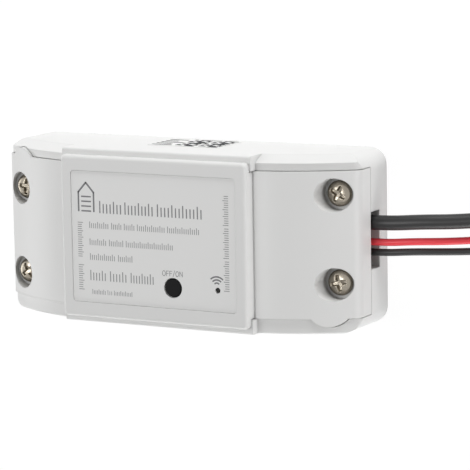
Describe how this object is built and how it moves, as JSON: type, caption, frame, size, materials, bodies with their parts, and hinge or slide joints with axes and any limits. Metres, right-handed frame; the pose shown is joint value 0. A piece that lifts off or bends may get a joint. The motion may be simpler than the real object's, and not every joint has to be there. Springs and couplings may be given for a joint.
{
  "type": "garage door controller",
  "caption": "Small white wireless relay box with arched ends, a push button on its label face and loose signal leads, for wiring to a garage door opener.",
  "frame": {"origin": "middle of the box's flat back, which it rests on", "axes": "+X along the box towards the end where the leads come out, +Z out of the label face"},
  "size_m": [0.2105, 0.0452, 0.028],
  "materials": {
    "white_abs": "fine satin moulded texture",
    "label_grey": "satin sheet",
    "black_abs": "satin moulded",
    "nickel_steel": "nickel plated",
    "circuit_laminate": "solder mask over laminate",
    "black_moulding": "moulded",
    "ferrite": "sintered",
    "bobbin_tape": "polyester tape",
    "capacitor_sleeve": "shrink sleeve",
    "varistor_lacquer": "dipped lacquer",
    "fuse_body": "ceramic tube",
    "shield_tin": "tinned sheet",
    "terminal_green": "moulded",
    "clear_acrylic": "clear moulded",
    "led_lens": "clear resin",
    "sticker_paper": "coated paper",
    "relay_case": "moulded",
    "cable_jacket": "smooth PVC",
    "black_wire": "smooth PVC",
    "red_wire": "smooth PVC",
    "core_insulation": "smooth PVC",
    "bare_copper": "tinned stranded copper"
  },
  "bodies": {
    "housing": {"base_shell": "white_abs", "centre_cover": "white_abs", "label_plate": "label_grey", "signal_end_cover": "white_abs", "power_end_cover": "white_abs", "signal_cover_screws": "nickel_steel", "power_cover_screws": "nickel_steel", "board_screws": "nickel_steel", "tact_switch_body": "black_moulding", "light_pipe": "clear_acrylic", "status_led": "led_lens", "circuit_board": "circuit_laminate", "relay": "relay_case", "transformer_core": "ferrite", "transformer_bobbin": "bobbin_tape", "mains_capacitor": "capacitor_sleeve", "output_capacitor": "capacitor_sleeve", "filter_choke": "ferrite", "surge_varistor": "varistor_lacquer", "mains_fuse": "fuse_body", "bridge_rectifier": "black_moulding", "voltage_regulator": "black_moulding", "wifi_module_board": "circuit_laminate", "wifi_module_shield": "shield_tin", "signal_terminal_block": "terminal_green", "signal_terminal_screws": "nickel_steel", "power_terminal_block": "terminal_green", "power_terminal_screws": "nickel_steel", "side_sticker": "sticker_paper", "signal_cable_cores": "core_insulation", "signal_cable_tail": "cable_jacket", "red_wire_tail": "red_wire", "black_wire_tail": "black_wire", "signal_cable_lead": "cable_jacket", "signal_cable_coil": "cable_jacket", "signal_cable_core_tips": "core_insulation", "signal_cable_bare_ends": "bare_copper", "red_wire_lead": "red_wire", "red_wire_coil": "red_wire", "red_wire_bare_end": "bare_copper", "black_wire_lead": "black_wire", "black_wire_coil": "black_wire", "black_wire_bare_end": "bare_copper"},
    "button": {"power_button": "black_abs", "tact_switch_plunger": "black_moulding"}
  },
  "joints": [
    {"name": "button_press", "type": "slide", "parent": "housing", "child": "button", "axis": [0, 0, -1], "range_m": [0, 0.0003], "stiffness_N_per_m": 500}
  ]
}
